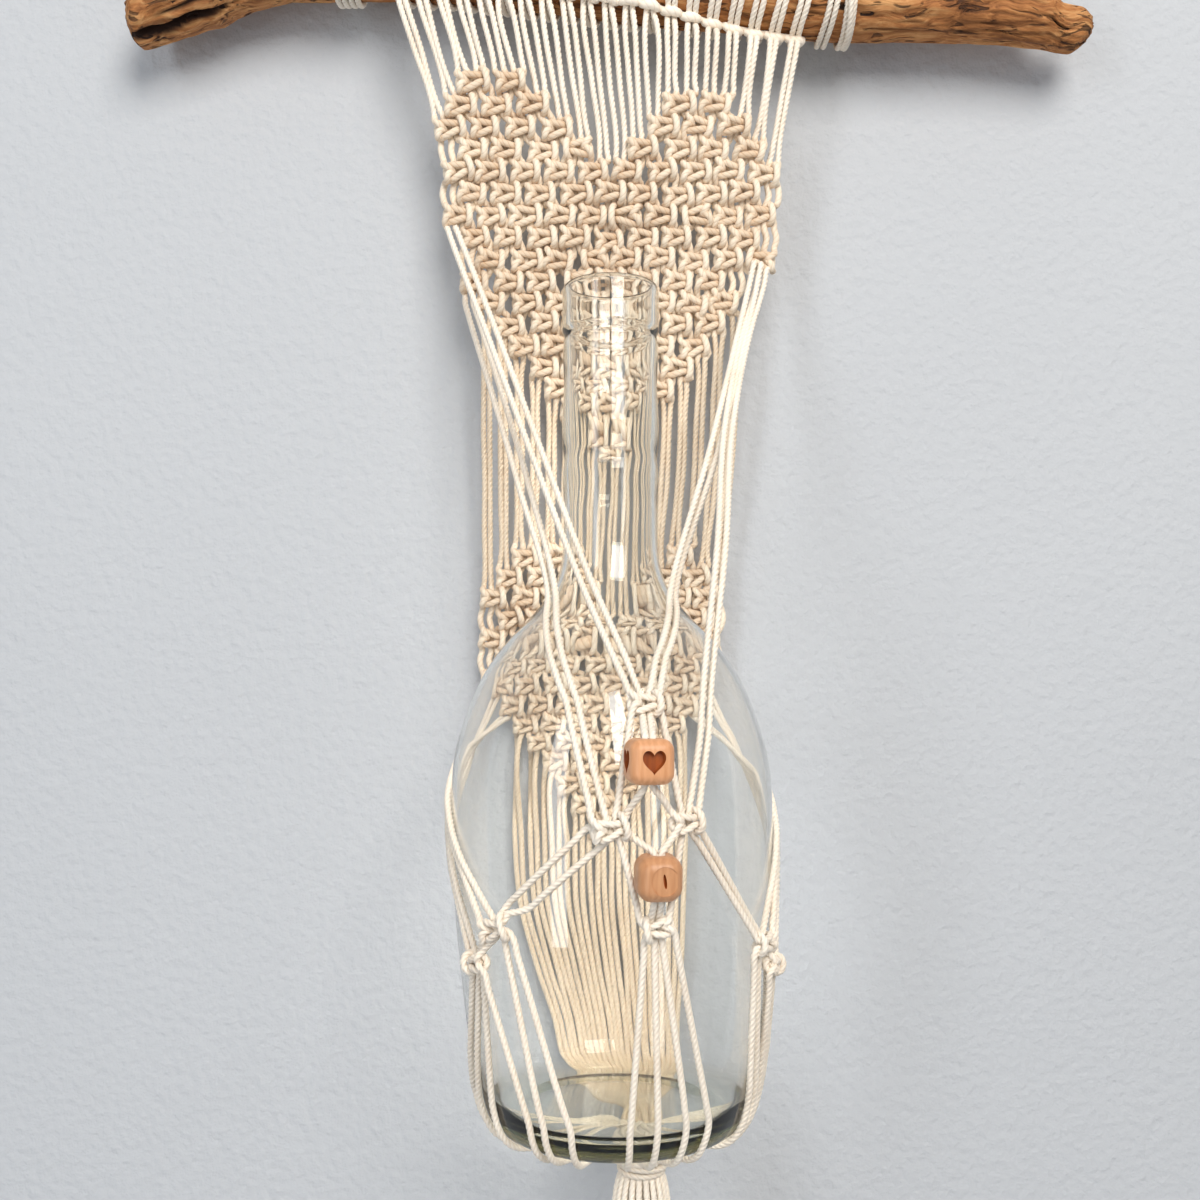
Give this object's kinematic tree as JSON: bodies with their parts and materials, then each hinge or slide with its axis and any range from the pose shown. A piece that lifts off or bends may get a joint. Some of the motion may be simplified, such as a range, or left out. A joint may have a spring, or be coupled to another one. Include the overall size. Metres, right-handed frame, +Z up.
{
  "type": "macrame wall hanging on a driftwood branch with a glass bottle",
  "caption": "Knotted cotton wall hanging with heart panels on a driftwood branch, its net holding a clear glass bottle above a tassel.",
  "frame": {"origin": "on the wall plane behind the middle of the branch", "axes": "+Z up, -Y out of the wall towards the viewer, +X to the viewer's right"},
  "size_m": [0.514, 0.1871, 0.8242],
  "materials": {
    "driftwood": "weathered",
    "cord": "matte",
    "bead_wood": "satin",
    "glass": "clear"
  },
  "bodies": {
    "root": {"branch": "driftwood", "wrap_left": "cord", "wrap_right": "cord", "panel": "cord", "net": "cord", "gathering_wrap": "cord", "tassel": "cord", "bead_upper": "bead_wood", "bead_lower": "bead_wood", "bottle": "glass"}
  },
  "joints": []
}
